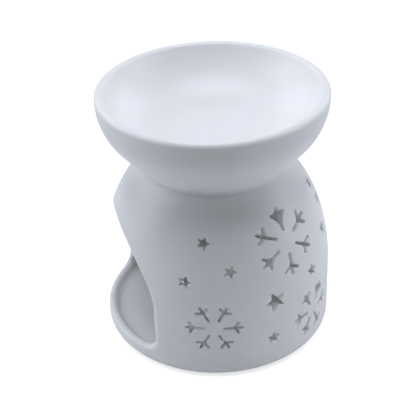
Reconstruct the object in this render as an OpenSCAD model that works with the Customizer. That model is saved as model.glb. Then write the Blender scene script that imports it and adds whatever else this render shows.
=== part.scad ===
// Tealight burner: a pierced porcelain dome with a doorway, carrying a shallow
// warming dish, with a foil-cup tealight standing on its floor.
// Millimetres, +Z up, origin on the table at the centre of the base.
// The doorway faces -X.

/* [Dome] */
// Outer radius of the dome at its waist
dome_r = 51.2; // [50.5:0.1:52]
// Thickness of the dome's wall
wall_t = 4; // [3.4:0.1:4.4]
// Thickness of the floor
floor_t = 6; // [5.4:0.1:6.4]
// Radius of the corner where the wall meets the floor
floor_round = 1.6; // [0.8:0.1:3]
// Radius of the rounded edge round the foot
foot_round = 4.8; // [3.6:0.1:5.6]
// Width of the foot ring, from the waist in to the recess
foot_w = 12.5; // [11:0.1:14]
// Depth of the shallow recess under the floor
foot_recess = 1.2; // [0.8:0.1:1.8]
// Height at which the wall starts to lean inwards
waist_z = 29; // [26:0.5:32]
// Radius of the gentle arc above the waist
side_arc = 95; // [90:1:100]
// Height at which the side arc passes into the shoulder arc
shoulder_z = 56; // [54:0.5:58]
// Radius of the tighter arc of the shoulder
shoulder_arc = 60; // [58:1:64]
// Height of the neck, where the dish is joined on
neck_z = 82; // [80:0.5:83]

/* [Doorway] */
// Full width of the doorway between its jambs
door_w = 71.6; // [66:0.2:74]
// Height of the sill
sill_z = 8.5; // [8:0.1:9]
// Height of the crown of the arch
door_top = 60.5; // [57:0.5:62]
// Radius of the arch's crown
crown_arc = 38; // [37.6:0.1:39]
// Radius of the arch's shoulders
haunch_arc = 24; // [24:0.1:25]
// Radius of the two bottom corners
door_corner = 6; // [3:0.5:8]

/* [Dish] */
// Height of the rim above the table
rim_z = 115.2; // [113:0.2:117]
// Outer radius of the dish
dish_r = 50; // [49:0.1:51]
// Thickness of the dish's wall at the rim, which is fully rounded
rim_t = 4; // [3.4:0.1:4.4]
// Depth of the dish
dish_depth = 20.5; // [19.5:0.1:21]
// How steeply the inside of the dish meets the rim
bowl_slope = 70; // [62:1:80]
// Thickness of the dish's floor
dish_floor_t = 4.5; // [3.5:0.1:5]
// Radius of the outer curve of the dish
dish_arc = 28; // [26:0.5:30]
// Inner radius of the foot ring that stands on the neck
foot_ring_r = 26; // [25.7:0.1:27]

/* [Pierced pattern] */
// Distance from a small snowflake's centre to the tips of its arms
small_flake_r = 12.4; // [11:0.1:13]
// Distance from a large snowflake's centre to the tips of its arms
large_flake_r = 15.4; // [14:0.1:16]
// Width of the cuts of a small snowflake
small_cut = 1.2; // [1:0.1:1.5]
// Width of the cuts of a large snowflake
large_cut = 1.45; // [1.2:0.05:1.8]
// Centre-to-tip size of a common star
star_r = 2.9; // [2.5:0.1:3.2]

/* [Tealight] */
// Outer radius of the foil cup
cup_r = 19; // [18.5:0.1:19.5]
// Height of the foil cup
cup_h = 16; // [14:0.5:17]
// Thickness of the foil as modelled
foil_t = 0.4; // [0.3:0.05:0.6]
// Depth of the wax in the cup
wax_h = 12; // [10:0.5:13]
// Length of wick standing out of the wax
wick_out = 6; // [4:0.5:8]
// Gap left under the cup for it to slide
rest_gap = 0.1; // [0.05:0.05:0.2]

/* [Hidden] */
$fn = 96;
eps = 0.01;
// How far a cutter runs past the face that it leaves through
over = 1;

// Centre and span of the shoulder arc, tangent to the side arc
side_turn = asin((shoulder_z - waist_z) / side_arc);
side_cx = dome_r - side_arc;
shoulder_cx = side_cx + (side_arc - shoulder_arc) * cos(side_turn);
shoulder_cz = waist_z + (side_arc - shoulder_arc) * sin(side_turn);
neck_r = arc_x(shoulder_cx, shoulder_arc, neck_z - shoulder_cz);

// Lens of the arch: crown on the centre line, haunches tangent to it
crown_z = door_top - crown_arc;
haunch_x = door_w / 2 - haunch_arc;
haunch_z = crown_z + sqrt(pow(crown_arc - haunch_arc, 2) - pow(haunch_x, 2));
haunch_dir = atan2(haunch_z - crown_z, haunch_x);
spring_x = crown_arc * cos(haunch_dir);
spring_z = crown_z + crown_arc * sin(haunch_dir);

// Outer curve of the dish and the cone tangent to it that runs to the neck
lip_r = rim_t / 2;
lip_z = rim_z - lip_r;
rim_band = 0.5;
dish_cx = dish_r - dish_arc;
dish_cz = lip_z - rim_band;
neck_dist = norm([dish_cx - neck_r, dish_cz - neck_z]);
cone_dir = atan2(dish_cz - neck_z, dish_cx - neck_r) - asin(dish_arc / neck_dist);
cone_len = sqrt(neck_dist * neck_dist - dish_arc * dish_arc);
cone_top = [neck_r + cone_len * cos(cone_dir), neck_z + cone_len * sin(cone_dir)];
dish_floor_z = rim_z - dish_depth;

// Inner curve of the dish, tangent to its floor and to the round lip
bowl_top = lip_z + lip_r * cos(bowl_slope);
bowl_arc = (bowl_top - dish_floor_z) / (1 - cos(bowl_slope));
bowl_cx = dish_r - lip_r - (lip_r + bowl_arc) * sin(bowl_slope);

// Heights in the tealight
cup_z = floor_t + rest_gap;
wax_z = cup_z + foil_t;
wax_top = wax_z + wax_h;
tab_r = 6;
tab_t = 0.4;
crimp_r = 1.6;
crimp_h = 2.6;
wick_r = 0.8;

// Where a cut starts and ends along the wall's normal
cut_in = 9;
cut_out = 5;

// Shape of a snowflake's arm, as shares of the distance from centre to tip
stem_start = 0.33;
fork_at = 0.72;
prong_len = 0.24;
prong_turn = 62;
// How far a web reaches along the prongs that it joins, as a share of their length
web_reach = 0.8;
// Inner corners of a star, as a share of its size
star_notch = 0.45;

// Each snowflake: [direction round the axis from -Y, height, first arm, large, arms with webbed prongs]
FLAKES = [
  [28, 59.7, 30, true, [1]],
  [-14.3, 26.7, 0, false, []],
  [43, 19.5, 0, false, [1]],
  [92, 27, 0, false, [4]],
  [126, 59.7, 30, true, [1]],
  [147, 20.5, 0, false, [2]],
  [196, 26.7, 0, false, []],
];
// Each star: [direction round the axis from -Y, height, first point, size against a common star]
STARS = [
  [-19.2, 65.2, -4, 1.15],
  [-28.3, 48.5, 0, 1],
  [-5.5, 53.4, -7, 1],
  [16.8, 35.3, 39, 1.65],
  [15.6, 16.5, 16, 1.05],
  [42.5, 40.4, 20, 1],
  [62.8, 51.3, 10, 1],
  [73, 69.5, 0, 1],
  [72.5, 61.5, 30, 1],
  [91, 48, 0, 1],
  [97, 66, 12, 1.1],
  [116, 36, 39, 1.65],
  [119, 15, 16, 1.05],
  [143, 41, 20, 1],
  [161, 52.5, 10, 1],
  [160, 71, 0, 1],
  [171, 34, 39, 1.65],
  [187, 57, 0, 1],
  [201, 50, -7, 1],
  [194, 69, 12, 1.15],
];

// Distance from the axis of an arc's edge at height z from the arc's centre
function arc_x(cx, r, z) = cx + sqrt(r * r - z * z);

// Outer radius of the dome and the tilt of its face at height z
function dome_x(z) =
  z < waist_z ? dome_r :
  z < shoulder_z ? arc_x(side_cx, side_arc, z - waist_z) :
  arc_x(shoulder_cx, shoulder_arc, z - shoulder_cz);
function dome_tilt(z) =
  z < waist_z ? 0 :
  z < shoulder_z ? asin((z - waist_z) / side_arc) :
  asin((z - shoulder_cz) / shoulder_arc);

// Whether a value is in a list
function in_list(value, list) = len([for (v = list) if (v == value) v]) > 0;

// The part of an arc between two heights, filled in to the axis
module arc_band(cx, cz, r, low, high) {
  intersection() {
    translate([cx, cz]) circle(r, $fn = 180);
    translate([0, low]) square([2 * dome_r, high - low]);
  }
}

// Half section of the dome, drawn inset from its outer face
module dome_section(inset, low, corner, high) {
  r = dome_r - inset;
  translate([0, low + corner]) square([r, waist_z - low - corner]);
  translate([0, low]) square([r - corner, corner + eps]);
  arc_band(r - corner, low + corner, corner, low, low + corner);
  arc_band(side_cx, waist_z, side_arc - inset, waist_z, shoulder_z);
  arc_band(shoulder_cx, shoulder_cz, shoulder_arc - inset, shoulder_z, high);
}

module dome_shell() {
  rotate_extrude($fn = 180) difference() {
    dome_section(0, 0, foot_round, neck_z);
    dome_section(wall_t, floor_t, floor_round, neck_z + over);
    translate([0, -over]) square([dome_r - foot_w, over + foot_recess]);
  }
}

// Outline of the doorway, seen from outside, with Y as its height
module door_outline() {
  half = door_w / 2;
  translate([-half, sill_z + door_corner]) square([door_w, haunch_z - sill_z - door_corner]);
  translate([door_corner - half, sill_z]) square([door_w - 2 * door_corner, door_corner + eps]);
  for (side = [-1, 1]) {
    translate([side * (half - door_corner), sill_z + door_corner]) circle(door_corner);
    intersection() {
      translate([side * haunch_x, haunch_z]) circle(haunch_arc);
      translate([-half, haunch_z - eps]) square([door_w, spring_z - haunch_z + eps]);
    }
  }
  intersection() {
    translate([0, crown_z]) circle(crown_arc);
    translate([-spring_x, haunch_z - eps]) square([2 * spring_x, door_top]);
  }
}

module doorway() {
  rotate([90, 0, -90]) translate([0, 0, dome_r / 3]) linear_extrude(dome_r) door_outline();
}

// Places a flat cutter on the dome's face and runs it through the wall
module pierce(turn, z) {
  rotate([0, 0, turn]) translate([0, -dome_x(z), z]) rotate([90 - dome_tilt(z), 0, 0])
    translate([0, 0, -cut_in]) linear_extrude(cut_in + cut_out) children();
}

// A straight cut from one distance to another along X
module cut_line(from, to, width) {
  translate([from, -width / 2]) square([to - from, width]);
}

// One arm of a snowflake: a stem that ends in three prongs, which a web may join
module flake_arm(tip, width, webbed) {
  fork = fork_at * tip;
  prong = prong_len * tip;
  cut_line(stem_start * tip, tip, width);
  for (side = [-1, 1]) translate([fork, 0]) rotate([0, 0, side * prong_turn]) cut_line(0, prong, width);
  if (webbed) {
    reach = web_reach * prong;
    web_x = fork + reach * cos(prong_turn);
    web_y = reach * sin(prong_turn);
    polygon([[fork - reach, 0], [web_x, -web_y], [fork + reach, 0], [web_x, web_y]]);
  }
}

module snowflake(first, large, webs) {
  for (arm = [0:5]) rotate([0, 0, first + 60 * arm])
    flake_arm(large ? large_flake_r : small_flake_r, large ? large_cut : small_cut, in_list(arm, webs));
}

module star_outline(r) {
  polygon([for (i = [0:9]) (i % 2 == 0 ? r : star_notch * r) * [cos(36 * i), sin(36 * i)]]);
}

module body() {
  color([0.93, 0.93, 0.94]) difference() {
    dome_shell();
    doorway();
    for (f = FLAKES) pierce(f[0], f[1]) snowflake(f[2], f[3], f[4]);
    for (s = STARS) pierce(s[0], s[1]) rotate([0, 0, s[2]]) star_outline(s[3] * star_r);
  }
}

// Outer section of the dish: cone up from the neck, curve, straight and round lip
module dish_outside() {
  polygon([[0, neck_z], [neck_r, neck_z], cone_top, [0, cone_top[1]]]);
  translate([0, cone_top[1]]) square([dish_cx, dish_cz - cone_top[1]]);
  arc_band(dish_cx, dish_cz, dish_arc, cone_top[1], dish_cz);
  translate([0, dish_cz]) square([dish_r, lip_z - dish_cz]);
  translate([0, lip_z]) square([dish_r - lip_r, bowl_top - lip_z]);
  translate([dish_r - lip_r, lip_z]) circle(lip_r);
}

// Inner section of the dish: flat floor that curves up to the lip
module dish_inside() {
  translate([0, dish_floor_z]) square([bowl_cx, rim_z]);
  arc_band(bowl_cx, dish_floor_z + bowl_arc, bowl_arc, dish_floor_z, bowl_top);
  translate([0, bowl_top]) square([dish_r - lip_r - lip_r * sin(bowl_slope), lip_r + over]);
}

module dish() {
  under_z = dish_floor_z - dish_floor_t;
  color([0.95, 0.95, 0.96]) rotate_extrude($fn = 180) difference() {
    dish_outside();
    dish_inside();
    translate([0, neck_z - over]) square([foot_ring_r, under_z - neck_z + over]);
  }
}

module tealight_cup() {
  color([0.8, 0.81, 0.83]) difference() {
    translate([0, 0, cup_z]) cylinder(h = cup_h, r = cup_r);
    translate([0, 0, wax_z]) cylinder(h = cup_h, r = cup_r - foil_t);
  }
}

module tealight_wax() {
  color([0.97, 0.96, 0.92]) difference() {
    translate([0, 0, wax_z]) cylinder(h = wax_h, r = cup_r - foil_t);
    translate([0, 0, wax_z - over]) cylinder(h = over + tab_t, r = tab_r);
    translate([0, 0, wax_z - over]) cylinder(h = over + crimp_h, r = crimp_r);
    translate([0, 0, wax_z - over]) cylinder(h = wax_h + 2 * over, r = wick_r);
  }
}

module wick_tab() {
  color([0.72, 0.72, 0.7]) difference() {
    union() {
      translate([0, 0, wax_z]) cylinder(h = tab_t, r = tab_r);
      translate([0, 0, wax_z]) cylinder(h = crimp_h, r = crimp_r);
    }
    translate([0, 0, wax_z + tab_t]) cylinder(h = crimp_h, r = wick_r);
  }
}

module wick() {
  color([0.94, 0.92, 0.86]) translate([0, 0, wax_z + tab_t]) cylinder(h = wax_h - tab_t + wick_out, r = wick_r);
}

body();
dish();
tealight_cup();
tealight_wax();
wick_tab();
wick();
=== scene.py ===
"""Looks of the pierced porcelain tealight burner, laid out as a Blender add-on and run as a script."""
import math

import bmesh
import bpy
import numpy as np
from bpy.props import FloatProperty, FloatVectorProperty, IntProperty, PointerProperty
from mathutils import Matrix, Vector


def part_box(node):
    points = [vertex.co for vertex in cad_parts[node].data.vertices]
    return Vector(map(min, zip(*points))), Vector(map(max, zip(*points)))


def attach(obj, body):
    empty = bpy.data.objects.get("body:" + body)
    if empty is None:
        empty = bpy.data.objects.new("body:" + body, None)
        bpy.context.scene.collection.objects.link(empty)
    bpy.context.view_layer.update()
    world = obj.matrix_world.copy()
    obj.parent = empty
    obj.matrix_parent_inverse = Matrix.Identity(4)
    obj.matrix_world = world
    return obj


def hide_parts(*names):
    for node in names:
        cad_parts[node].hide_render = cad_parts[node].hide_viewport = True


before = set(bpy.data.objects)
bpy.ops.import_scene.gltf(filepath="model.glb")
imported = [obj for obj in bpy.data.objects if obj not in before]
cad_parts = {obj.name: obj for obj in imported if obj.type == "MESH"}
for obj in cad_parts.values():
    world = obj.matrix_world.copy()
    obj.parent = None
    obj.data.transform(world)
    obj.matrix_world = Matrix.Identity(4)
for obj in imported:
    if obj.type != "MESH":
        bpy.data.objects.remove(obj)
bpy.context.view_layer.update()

bl_info = {
    "name": "Pierced Tealight Burner",
    "version": (1, 0, 0),
    "blender": (4, 5, 0),
    "location": "View3D > Sidebar > Burner",
    "description": "Builds a glazed porcelain tealight burner with its candle and a plain studio",
    "category": "Add Mesh",
}

MM = 0.001
# Points nearer than this, in metres, count as one
TOUCHING = 1e-7
# Keeps a division off zero
TINY = 1e-6
BODY_LOW, BODY_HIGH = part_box("body")
DISH_LOW, DISH_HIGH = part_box("dish")
CUP_LOW, CUP_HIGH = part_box("tealight_cup")
WAX_LOW, WAX_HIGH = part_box("tealight_wax")
TAB_LOW, TAB_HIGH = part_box("wick_tab")
WICK_LOW, WICK_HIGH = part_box("wick")

BLACK, WHITE = (0, 0, 0, 1), (1, 1, 1, 1)
IRON_SPECK = (0.42, 0.39, 0.34, 1)
# Snowflakes: degrees round the axis from -Y, height in millimetres, degrees of the first arm, large or small,
# and the arms whose prongs are webbed together
FLAKES = (
    (28, 59.7, 30, True, (1,)),
    (-14.3, 26.7, 0, False, ()),
    (43, 19.5, 0, False, (1,)),
    (92, 27, 0, False, (4,)),
    (126, 59.7, 30, True, (1,)),
    (147, 20.5, 0, False, (2,)),
    (196, 26.7, 0, False, ()),
)
# How far a hand-cut arm is out of true: degrees of turn, then shares of its length and width, and the most
# that any of them is multiplied by
ARM_TURN, ARM_LENGTH, ARM_WIDTH, MOST = 1.2, 0.015, 0.07, 2
# Width of the web between an arm's prongs, in cut widths: usual, how much it varies, and for webbed arms
WEB, WEB_VARIES, WIDE_WEB = 0.7, 0.25, 2.3
# Stars: degrees round the axis from -Y, height in millimetres, degrees of the first point, large or small
STARS = (
    (-19.2, 65.2, -4, False),
    (-28.3, 48.5, 0, False),
    (-5.5, 53.4, -7, False),
    (16.8, 35.3, 39, True),
    (15.6, 16.5, 16, False),
    (42.5, 40.4, 20, False),
    (62.8, 51.3, 10, False),
    (73, 69.5, 0, False),
    (72.5, 61.5, 30, False),
    (91, 48, 0, False),
    (97, 66, 12, False),
    (116, 36, 39, True),
    (119, 15, 16, False),
    (143, 41, 20, False),
    (161, 52.5, 10, False),
    (160, 71, 0, False),
    (171, 34, 39, True),
    (187, 57, 0, False),
    (201, 50, -7, False),
    (194, 69, 12, False),
)
# Where a star's notches lie, as a share of its tip, and how soft its corners are
STAR_NOTCH, STAR_SOFT = 0.45, 0.25 * MM
# Room round a cut's outline, and how deep from the dome's face it is worked out
CUT_ROOM, CUT_DEPTH = 2 * MM, 9 * MM


# ---------------------------------------------------------------- settings

def length(name, description, default):
    """A property for a size in metres."""
    return FloatProperty(name=name, description=description, default=default, unit="LENGTH", precision=4)


def angled(name, description, default):
    """A property for an angle."""
    return FloatProperty(name=name, description=description, default=default, subtype="ANGLE")


def amount(name, description, default):
    """A property for an amount, from none to twice the whole."""
    return FloatProperty(name=name, description=description, default=default, min=0, max=2)


def tint(name, description, default):
    """A property for a colour."""
    return FloatVectorProperty(
        name=name, description=description, default=default, size=3, min=0, max=1, subtype="COLOR"
    )


def watts(name, description, default):
    """A property for a light's power."""
    return FloatProperty(name=name, description=description, default=default, min=0, unit="POWER")


class DomeSettings(bpy.types.PropertyGroup):
    """Sizes of the pierced dome."""
    wall: length("Wall", "Thickness of the dome's wall", 4 * MM)
    floor: length("Floor", "Thickness of the floor", 6 * MM)
    foot_round: length("Foot round", "Radius of the rounded foot", 4.8 * MM)
    foot_width: length("Foot width", "Width of the foot ring, from the waist in to the recess", 12.5 * MM)
    floor_round: length("Floor round", "Radius where the floor meets the wall", 1.6 * MM)
    recess: length("Foot recess", "Depth of the recess under the floor", 1.2 * MM)
    waist_z: length("Waist", "Height at which the wall starts to lean in", 29 * MM)
    side_arc: length("Side arc", "Radius of the gentle arc above the waist", 95 * MM)
    shoulder_z: length("Shoulder", "Height at which the shoulder arc starts", 56 * MM)
    shoulder_arc: length("Shoulder arc", "Radius of the shoulder", 60 * MM)
    door_width: length("Doorway width", "Width between the jambs", 71.6 * MM)
    sill: length("Sill", "Height of the sill", 8.5 * MM)
    door_top: length("Doorway top", "Height of the crown of the arch", 60.5 * MM)
    crown_arc: length("Crown", "Radius of the arch's crown", 38 * MM)
    haunch_arc: length("Haunch", "Radius of the arch's shoulders", 24 * MM)
    door_corner: length("Corner", "Radius of the doorway's bottom corners", 6 * MM)
    door_lip: length("Doorway lip", "Softness of the doorway's glazed edge", 1.9 * MM)
    cut_lip: length("Cut lip", "Softness of the edges of the stars and snowflakes", 0.45 * MM)
    cell: length("Cell", "Size of the cells that the dome is worked out on", 0.5 * MM)
    triangles: IntProperty(
        name="Triangles", description="Most triangles that the finished dome keeps", default=180000, min=20000
    )


class PatternSettings(bpy.types.PropertyGroup):
    """Sizes of the pierced pattern."""
    small_flake: length("Small snowflake", "Centre to tip of a small snowflake", 12.4 * MM)
    large_flake: length("Large snowflake", "Centre to tip of a large snowflake", 15.4 * MM)
    small_cut: length("Small cut", "Width of a small snowflake's cuts", 1.1 * MM)
    large_cut: length("Large cut", "Width of a large snowflake's cuts", 1.35 * MM)
    small_star: length("Small star", "Centre to tip of a small star", 2.9 * MM)
    large_star: length("Large star", "Centre to tip of a large star", 4.8 * MM)
    unevenness: amount("Unevenness", "How much the hand-cut arms differ", 1)


class DishSettings(bpy.types.PropertyGroup):
    """Sizes of the warming dish."""
    rim: length("Rim", "Thickness of the fully rounded rim", 4 * MM)
    depth: length("Depth", "Depth of the dish", 20.5 * MM)
    floor: length("Floor", "Thickness of the dish's floor", 4.5 * MM)
    arc: length("Outer arc", "Radius of the dish's outer curve", 28 * MM)
    bowl_slope: angled("Bowl slope", "How steeply the inside meets the rim", math.radians(70))
    foot_ring: length("Foot ring", "Inner radius of the ring that stands on the neck", 26 * MM)
    joint_round: length("Joint", "Radius of the glazed joint with the dome", 2.2 * MM)


class CandleSettings(bpy.types.PropertyGroup):
    """Sizes of the tealight."""
    foil: length("Foil", "Thickness of the cup's foil", 0.15 * MM)
    taper: length("Taper", "How much narrower the cup's base is than its rim", 0.45 * MM)
    bead: length("Bead", "Radius of the cup's rolled rim", 0.4 * MM)
    meniscus: length("Meniscus", "Height that the wax climbs the cup's wall", 0.6 * MM)
    twist: length("Twist", "Length of wick in one turn of its strands", 5 * MM)


class GlazeSettings(bpy.types.PropertyGroup):
    """Colours of the finishes."""
    white: tint("Glaze", "White of the glaze", (0.943, 0.947, 0.945))
    cloud: tint("Cloud", "Colour of the glaze where it is a little thinner", (0.943, 0.947, 0.945))
    pool: tint("Pooled glaze", "Colour where the glaze gathers", (0.9, 0.925, 0.9))
    edge: tint("Thin glaze", "Colour where the glaze runs thin over an edge", (0.95, 0.95, 0.95))
    bisque: tint("Bisque", "Colour of the unglazed foot", (0.78, 0.75, 0.7))
    foil: tint("Foil", "Colour of the cup", (0.8, 0.81, 0.82))
    wax: tint("Wax", "Colour of the wax", (0.93, 0.91, 0.86))
    steel: tint("Steel", "Colour of the wick's tab", (0.62, 0.62, 0.6))
    cotton: tint("Cotton", "Colour of the wick", (0.88, 0.86, 0.79))


class StageSettings(bpy.types.PropertyGroup):
    """The camera and the studio."""
    distance: length("Distance", "Camera's distance from the axis", 0.4067)
    height: length("Height", "Camera's height above the table", 0.3133)
    around: angled("Around", "Camera's place round the axis, from -Y towards +X", math.radians(-12))
    turn: angled("Turn", "How far the camera turns to its right of the axis", -0.0166)
    tilt: angled("Tilt", "How far the camera looks down", 0.558)
    roll: angled("Roll", "How far the camera leans", -0.0374)
    lens: FloatProperty(name="Lens", description="Focal length in millimetres", default=96.4, min=20)
    floor: tint("Floor", "Colour of the floor", (0.85, 0.85, 0.85))
    # Painted shade: the floor before the view is darker to every ray but the camera's, so that the object's
    # front gets less bounced light
    front: tint("Front", "Colour of the floor before the view, to all but the camera", (0.58, 0.58, 0.58))
    glow: amount("Glow", "How much the floor shines towards the camera", 0.62)
    light_tint: tint("Light", "Colour of the lights", (0.88, 0.914, 1))
    top_light: watts("Top light", "Power of the light overhead", 9.4)
    left_light: watts("Left light", "Power of the light behind on the left", 2.0)
    right_light: watts("Right light", "Power of the light behind on the right", 2.5)
    left_fill: watts("Left fill", "Power of the low light on the left", 3.6)
    right_fill: watts("Right fill", "Power of the low light on the right", 2.7)


# ---------------------------------------------------------------- solid geometry by distance

def round_intersect(a, b, radius):
    """Distance to what two solids share, with the edge between them rounded."""
    corner = np.hypot(np.maximum(a + radius, 0), np.maximum(b + radius, 0))
    return np.minimum(np.maximum(a, b), -radius) + corner


def blend_union(a, b, reach):
    """Distance to two solids joined, with a web as wide as reach in the corner between them."""
    near = np.maximum(reach - np.abs(a - b), 0) / reach
    return np.minimum(a, b) - near * near * reach / 4


def stroke_distance(x, y, start, end):
    """Distance from points to a straight stroke with no width."""
    dx, dy = end[0] - start[0], end[1] - start[1]
    t = np.clip(((x - start[0]) * dx + (y - start[1]) * dy) / (dx * dx + dy * dy), 0, 1)
    return np.hypot(x - start[0] - t * dx, y - start[1] - t * dy)


def arm_distance(x, y, tip, width, web):
    """Distance to a snowflake's arm along +X: a stem that ends in three prongs."""
    stem_start, fork, stem_end = 0.37 * tip, 0.72 * tip, 0.96 * tip
    prong, lean = 0.24 * tip, math.radians(62)
    shape = stroke_distance(x, y, (stem_start, 0), (stem_end, 0))
    for side in (-1, 1):
        end = (fork + prong * math.cos(lean), side * prong * math.sin(lean))
        shape = blend_union(shape, stroke_distance(x, y, (fork, 0), end), web)
    return shape - width / 2


def star_distance(x, y, tip, soft=STAR_SOFT):
    """Distance to a five-pointed star with a point along +X and its corners softened."""
    sector = 2 * math.pi / 5
    angle = np.abs((np.arctan2(y, x) + sector / 2) % sector - sector / 2)
    radius = np.hypot(x, y)
    px, py = radius * np.cos(angle), radius * np.sin(angle)
    ax, notch = tip - soft, STAR_NOTCH * tip - soft / 2
    ex, ey = notch * math.cos(sector / 2) - ax, notch * math.sin(sector / 2)
    t = np.clip(((px - ax) * ex + py * ey) / (ex * ex + ey * ey), 0, 1)
    gap = np.hypot(px - ax - t * ex, py - t * ey)
    return np.where(ex * py - ey * (px - ax) > 0, -gap, gap) - soft


class DomeField:
    """Signed distance to the pierced dome, in metres, negative inside the porcelain."""

    def __init__(self, dome, pattern):
        self.dome = dome
        self.pattern = pattern
        self.radius = BODY_HIGH.x
        self.neck = BODY_HIGH.z
        side = math.asin((dome.shoulder_z - dome.waist_z) / dome.side_arc)
        self.side_turn = side
        self.side_x = self.radius - dome.side_arc
        self.shoulder_x = self.side_x + (dome.side_arc - dome.shoulder_arc) * math.cos(side)
        self.shoulder_z = dome.waist_z + (dome.side_arc - dome.shoulder_arc) * math.sin(side)
        self.crown_z = dome.door_top - dome.crown_arc
        self.haunch_x = dome.door_width / 2 - dome.haunch_arc
        rise = math.sqrt((dome.crown_arc - dome.haunch_arc) ** 2 - self.haunch_x ** 2)
        self.haunch_z = self.crown_z + rise
        self.haunch_dir = math.atan2(rise, self.haunch_x)
        self.cutters = self.make_cutters()

    def face_at(self, z):
        """Radius of the outer face at a height, and how far its normal tips up."""
        dome = self.dome
        if z < dome.waist_z:
            return self.radius, 0.0
        if z < dome.shoulder_z:
            tilt = math.asin((z - dome.waist_z) / dome.side_arc)
            return self.side_x + dome.side_arc * math.cos(tilt), tilt
        tilt = math.asin((z - self.shoulder_z) / dome.shoulder_arc)
        return self.shoulder_x + dome.shoulder_arc * math.cos(tilt), tilt

    def make_cutters(self):
        """Where each cut lies: centre, directions across, up and out, its reach and its shape."""
        pattern, rng, cutters = self.pattern, np.random.default_rng(12), []
        for turn, z, first, large, webbed in FLAKES:
            tip = pattern.large_flake if large else pattern.small_flake
            width = pattern.large_cut if large else pattern.small_cut
            vary = rng.normal(0, pattern.unevenness, (6, 4)).clip(-MOST, MOST)
            arms = [
                (
                    math.radians(first + 60 * i + ARM_TURN * vary[i, 0]),
                    tip * (1 + ARM_LENGTH * vary[i, 1]),
                    width * (1 + ARM_WIDTH * vary[i, 2]),
                    (WIDE_WEB if i in webbed else WEB + WEB_VARIES * vary[i, 3]) * width,
                )
                for i in range(6)
            ]
            cutters.append(self.place(turn, z * MM, tip + CUT_ROOM, "flake", arms))
        for turn, z, first, large in STARS:
            tip = pattern.large_star if large else pattern.small_star
            cutters.append(self.place(turn, z * MM, tip + CUT_ROOM, "star", (math.radians(first), tip)))
        return cutters

    def place(self, turn, z, reach, kind, shape):
        """Directions of a cut square to the dome's face."""
        radius, tilt = self.face_at(z)
        angle = math.radians(turn)
        away = np.array([math.sin(angle), -math.cos(angle), 0])
        up = np.array([0, 0, 1.0])
        across = np.array([math.cos(angle), math.sin(angle), 0])
        centre = away * radius + up * z
        rise = up * math.cos(tilt) - away * math.sin(tilt)
        out = away * math.cos(tilt) + up * math.sin(tilt)
        return centre, across, rise, out, reach, kind, shape

    def side(self, r, z, inset):
        """Distance outwards from the dome's curved side, drawn inset from its outer face."""
        dome = self.dome
        lean = np.arctan2(z - self.shoulder_z, r - self.shoulder_x)
        shoulder = np.hypot(r - self.shoulder_x, z - self.shoulder_z) - (dome.shoulder_arc - inset)
        flank = np.hypot(r - self.side_x, z - dome.waist_z) - (dome.side_arc - inset)
        wall = r - (self.radius - inset)
        return np.where(lean > self.side_turn, shoulder, np.where(z > dome.waist_z, flank, wall))

    def shell(self, r, z):
        """The dome with its chamber and foot recess, before anything is cut."""
        dome = self.dome
        outside = round_intersect(self.side(r, z, 0), -z, dome.foot_round)
        chamber = round_intersect(self.side(r, z, dome.wall), dome.floor - z, dome.floor_round)
        shell = np.maximum(outside, -chamber)
        recess_edge, recess_round = self.radius - dome.foot_width, 0.5 * MM
        recess = round_intersect(r - recess_edge, z - dome.recess, recess_round)
        shell = round_intersect(shell, -recess, recess_round)
        return np.maximum(shell, z - self.neck)

    def face_under(self, r, z):
        """The point of the outer face that lies square to each point."""
        dome = self.dome
        lean = np.arctan2(z - self.shoulder_z, r - self.shoulder_x)
        shoulder, flank = lean > self.side_turn, z > dome.waist_z
        cx = np.where(shoulder, self.shoulder_x, self.side_x)
        cz = np.where(shoulder, self.shoulder_z, dome.waist_z)
        share = np.where(shoulder, dome.shoulder_arc, dome.side_arc) / np.hypot(r - cx, z - cz)
        curved = shoulder | flank
        face_r = np.where(curved, cx + (r - cx) * share, self.radius)
        return face_r, np.where(curved, cz + (z - cz) * share, z)

    def doorway(self, x, y, z):
        """The doorway's cutter, open towards -X, with its edges cut square to the wall."""
        dome = self.dome
        inner_end, least_r = -self.radius / 3, self.radius / 4
        r = np.hypot(x, y)
        face_r, z = self.face_under(r, z)
        h = np.abs(y) * face_r / np.maximum(r, least_r)
        lean = np.arctan2(z - self.crown_z, h)
        crown = np.hypot(h, z - self.crown_z) - dome.crown_arc
        haunch = np.hypot(h - self.haunch_x, z - self.haunch_z) - dome.haunch_arc
        jamb = h - dome.door_width / 2
        arch = np.where(lean > self.haunch_dir, crown, np.where(z > self.haunch_z, haunch, jamb))
        outline = round_intersect(arch, dome.sill - z, dome.door_corner)
        return np.maximum(outline, x - inner_end)

    def cuts(self, points):
        """All the stars and snowflakes together."""
        nearest = np.full(len(points), 1.0)
        for centre, across, rise, out, reach, kind, shape in self.cutters:
            offset = points - centre
            depth = offset @ out + self.dome.wall / 2
            x, y = offset @ across, offset @ rise
            near = (np.abs(x) < reach) & (np.abs(y) < reach) & (np.abs(depth) < CUT_DEPTH)
            if not near.any():
                continue
            x, y = x[near], y[near]
            if kind == "star":
                first, tip = shape
                cx, cy = self.spin(x, y, first)
                found = star_distance(cx, cy, tip)
            else:
                found = np.full(len(x), 1.0)
                for first, tip, width, web in shape:
                    cx, cy = self.spin(x, y, first)
                    found = np.minimum(found, arm_distance(cx, cy, tip, width, web))
            nearest[near] = np.minimum(nearest[near], found)
        return nearest

    @staticmethod
    def spin(x, y, angle):
        """The points seen from a cut turned by an angle."""
        c, s = math.cos(angle), math.sin(angle)
        return x * c + y * s, y * c - x * s

    def __call__(self, points):
        x, y, z = points.T
        solid = self.shell(np.hypot(x, y), z)
        solid = round_intersect(solid, -self.doorway(x, y, z), self.dome.door_lip)
        return round_intersect(solid, -self.cuts(points), self.dome.cut_lip)

    def gradient(self, points, step=0.03 * MM):
        """Direction in which the distance grows, as long as its rate."""
        columns = []
        for axis in np.eye(3) * step:
            columns.append((self(points + axis) - self(points - axis)) / (2 * step))
        return np.stack(columns, 1)

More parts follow.
